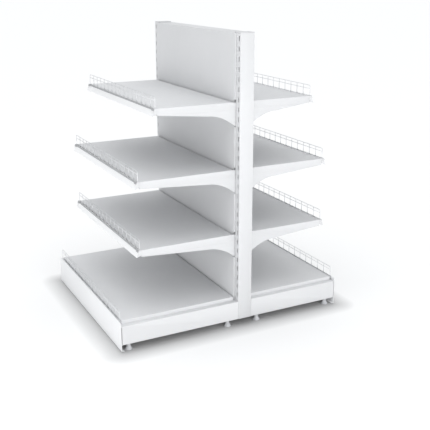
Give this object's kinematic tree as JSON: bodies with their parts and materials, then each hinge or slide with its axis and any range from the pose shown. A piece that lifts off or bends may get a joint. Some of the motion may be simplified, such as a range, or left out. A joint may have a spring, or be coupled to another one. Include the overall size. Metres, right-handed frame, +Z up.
{
  "type": "gondola shelving",
  "caption": "Double-sided island gondola shelving bay: slotted uprights, hooked metal shelves with price rails and wire fences, base shelves and kick plates.",
  "frame": {"origin": "on the floor, at the centre of the footprint", "axes": "+X along the bay towards the near upright, +Y towards the shallower right side, +Z up"},
  "size_m": [1.06, 1.2954, 1.5563],
  "materials": {
    "white_paint": "satin powder coat",
    "white_plastic": "extruded, satin",
    "grey_plastic": "moulded, matt",
    "plated_wire": "bright zinc plated"
  },
  "bodies": {
    "frame": {"upright_near": "white_paint", "upright_far": "white_paint", "upright_cap_near": "grey_plastic", "upright_cap_far": "grey_plastic", "lower_tie_rail": "white_paint", "top_rail": "white_paint", "left_lower_panel": "white_paint", "left_upper_panel": "white_paint", "left_leg_near": "white_paint", "left_leg_far": "white_paint", "right_lower_panel": "white_paint", "right_upper_panel": "white_paint", "right_leg_near": "white_paint", "right_leg_far": "white_paint"},
    "left_lower_brackets": {"left_lower_bracket_near": "white_paint", "left_lower_bracket_far": "white_paint"},
    "left_lower_shelf": {"left_lower_shelf": "white_paint", "left_lower_price_rail": "white_plastic"},
    "left_lower_fence": {"left_lower_fence": "plated_wire"},
    "left_middle_brackets": {"left_middle_bracket_near": "white_paint", "left_middle_bracket_far": "white_paint"},
    "left_middle_shelf": {"left_middle_shelf": "white_paint", "left_middle_price_rail": "white_plastic"},
    "left_middle_fence": {"left_middle_fence": "plated_wire"},
    "left_upper_brackets": {"left_upper_bracket_near": "white_paint", "left_upper_bracket_far": "white_paint"},
    "left_upper_shelf": {"left_upper_shelf": "white_paint", "left_upper_price_rail": "white_plastic"},
    "left_upper_fence": {"left_upper_fence": "plated_wire"},
    "left_base_shelf": {"left_base_shelf": "white_paint", "left_base_rail": "white_paint"},
    "left_base_fence": {"left_base_fence": "plated_wire"},
    "left_kick_plate": {"left_kick_plate": "white_paint"},
    "left_near_foot_rear": {"left_near_foot_rear": "grey_plastic"},
    "left_near_foot_front": {"left_near_foot_front": "grey_plastic"},
    "left_far_foot_rear": {"left_far_foot_rear": "grey_plastic"},
    "left_far_foot_front": {"left_far_foot_front": "grey_plastic"},
    "right_lower_brackets": {"right_lower_bracket_near": "white_paint", "right_lower_bracket_far": "white_paint"},
    "right_lower_shelf": {"right_lower_shelf": "white_paint", "right_lower_price_rail": "white_plastic"},
    "right_lower_fence": {"right_lower_fence": "plated_wire"},
    "right_middle_brackets": {"right_middle_bracket_near": "white_paint", "right_middle_bracket_far": "white_paint"},
    "right_middle_shelf": {"right_middle_shelf": "white_paint", "right_middle_price_rail": "white_plastic"},
    "right_middle_fence": {"right_middle_fence": "plated_wire"},
    "right_upper_brackets": {"right_upper_bracket_near": "white_paint", "right_upper_bracket_far": "white_paint"},
    "right_upper_shelf": {"right_upper_shelf": "white_paint", "right_upper_price_rail": "white_plastic"},
    "right_upper_fence": {"right_upper_fence": "plated_wire"},
    "right_base_shelf": {"right_base_shelf": "white_paint", "right_base_rail": "white_paint"},
    "right_base_fence": {"right_base_fence": "plated_wire"},
    "right_kick_plate": {"right_kick_plate": "white_paint"},
    "right_near_foot_rear": {"right_near_foot_rear": "grey_plastic"},
    "right_near_foot_front": {"right_near_foot_front": "grey_plastic"},
    "right_far_foot_rear": {"right_far_foot_rear": "grey_plastic"},
    "right_far_foot_front": {"right_far_foot_front": "grey_plastic"}
  },
  "joints": [
    {"name": "left_lower_unhook", "type": "slide", "parent": "frame", "child": "left_lower_brackets", "axis": [0, 0, 1], "range_m": [0, 0.009]},
    {"name": "left_lower_shelf_lift", "type": "slide", "parent": "left_lower_brackets", "child": "left_lower_shelf", "axis": [0, 0, 1], "range_m": [0, 0.045]},
    {"name": "left_lower_fence_lift", "type": "slide", "parent": "left_lower_shelf", "child": "left_lower_fence", "axis": [0, 0, 1], "range_m": [0, 0.03]},
    {"name": "left_middle_unhook", "type": "slide", "parent": "frame", "child": "left_middle_brackets", "axis": [0, 0, 1], "range_m": [0, 0.009]},
    {"name": "left_middle_shelf_lift", "type": "slide", "parent": "left_middle_brackets", "child": "left_middle_shelf", "axis": [0, 0, 1], "range_m": [0, 0.045]},
    {"name": "left_middle_fence_lift", "type": "slide", "parent": "left_middle_shelf", "child": "left_middle_fence", "axis": [0, 0, 1], "range_m": [0, 0.03]},
    {"name": "left_upper_unhook", "type": "slide", "parent": "frame", "child": "left_upper_brackets", "axis": [0, 0, 1], "range_m": [0, 0.009]},
    {"name": "left_upper_shelf_lift", "type": "slide", "parent": "left_upper_brackets", "child": "left_upper_shelf", "axis": [0, 0, 1], "range_m": [0, 0.045]},
    {"name": "left_upper_fence_lift", "type": "slide", "parent": "left_upper_shelf", "child": "left_upper_fence", "axis": [0, 0, 1], "range_m": [0, 0.03]},
    {"name": "left_base_shelf_lift", "type": "slide", "parent": "frame", "child": "left_base_shelf", "axis": [0, 0, 1], "range_m": [0, 0.06]},
    {"name": "left_base_fence_lift", "type": "slide", "parent": "left_base_shelf", "child": "left_base_fence", "axis": [0, 0, 1], "range_m": [0, 0.03]},
    {"name": "left_kick_plate_pull", "type": "slide", "parent": "frame", "child": "left_kick_plate", "axis": [0, -1, 0], "range_m": [0, 0.06]},
    {"name": "left_near_foot_rear_level", "type": "slide", "parent": "frame", "child": "left_near_foot_rear", "axis": [0, 0, 1], "range_m": [-0.015, 0]},
    {"name": "left_near_foot_front_level", "type": "slide", "parent": "frame", "child": "left_near_foot_front", "axis": [0, 0, 1], "range_m": [-0.015, 0]},
    {"name": "left_far_foot_rear_level", "type": "slide", "parent": "frame", "child": "left_far_foot_rear", "axis": [0, 0, 1], "range_m": [-0.015, 0]},
    {"name": "left_far_foot_front_level", "type": "slide", "parent": "frame", "child": "left_far_foot_front", "axis": [0, 0, 1], "range_m": [-0.015, 0]},
    {"name": "right_lower_unhook", "type": "slide", "parent": "frame", "child": "right_lower_brackets", "axis": [0, 0, 1], "range_m": [0, 0.009]},
    {"name": "right_lower_shelf_lift", "type": "slide", "parent": "right_lower_brackets", "child": "right_lower_shelf", "axis": [0, 0, 1], "range_m": [0, 0.045]},
    {"name": "right_lower_fence_lift", "type": "slide", "parent": "right_lower_shelf", "child": "right_lower_fence", "axis": [0, 0, 1], "range_m": [0, 0.03]},
    {"name": "right_middle_unhook", "type": "slide", "parent": "frame", "child": "right_middle_brackets", "axis": [0, 0, 1], "range_m": [0, 0.009]},
    {"name": "right_middle_shelf_lift", "type": "slide", "parent": "right_middle_brackets", "child": "right_middle_shelf", "axis": [0, 0, 1], "range_m": [0, 0.045]},
    {"name": "right_middle_fence_lift", "type": "slide", "parent": "right_middle_shelf", "child": "right_middle_fence", "axis": [0, 0, 1], "range_m": [0, 0.03]},
    {"name": "right_upper_unhook", "type": "slide", "parent": "frame", "child": "right_upper_brackets", "axis": [0, 0, 1], "range_m": [0, 0.009]},
    {"name": "right_upper_shelf_lift", "type": "slide", "parent": "right_upper_brackets", "child": "right_upper_shelf", "axis": [0, 0, 1], "range_m": [0, 0.045]},
    {"name": "right_upper_fence_lift", "type": "slide", "parent": "right_upper_shelf", "child": "right_upper_fence", "axis": [0, 0, 1], "range_m": [0, 0.03]},
    {"name": "right_base_shelf_lift", "type": "slide", "parent": "frame", "child": "right_base_shelf", "axis": [0, 0, 1], "range_m": [0, 0.06]},
    {"name": "right_base_fence_lift", "type": "slide", "parent": "right_base_shelf", "child": "right_base_fence", "axis": [0, 0, 1], "range_m": [0, 0.03]},
    {"name": "right_kick_plate_pull", "type": "slide", "parent": "frame", "child": "right_kick_plate", "axis": [0, 1, 0], "range_m": [0, 0.06]},
    {"name": "right_near_foot_rear_level", "type": "slide", "parent": "frame", "child": "right_near_foot_rear", "axis": [0, 0, 1], "range_m": [-0.015, 0]},
    {"name": "right_near_foot_front_level", "type": "slide", "parent": "frame", "child": "right_near_foot_front", "axis": [0, 0, 1], "range_m": [-0.015, 0]},
    {"name": "right_far_foot_rear_level", "type": "slide", "parent": "frame", "child": "right_far_foot_rear", "axis": [0, 0, 1], "range_m": [-0.015, 0]},
    {"name": "right_far_foot_front_level", "type": "slide", "parent": "frame", "child": "right_far_foot_front", "axis": [0, 0, 1], "range_m": [-0.015, 0]}
  ]
}
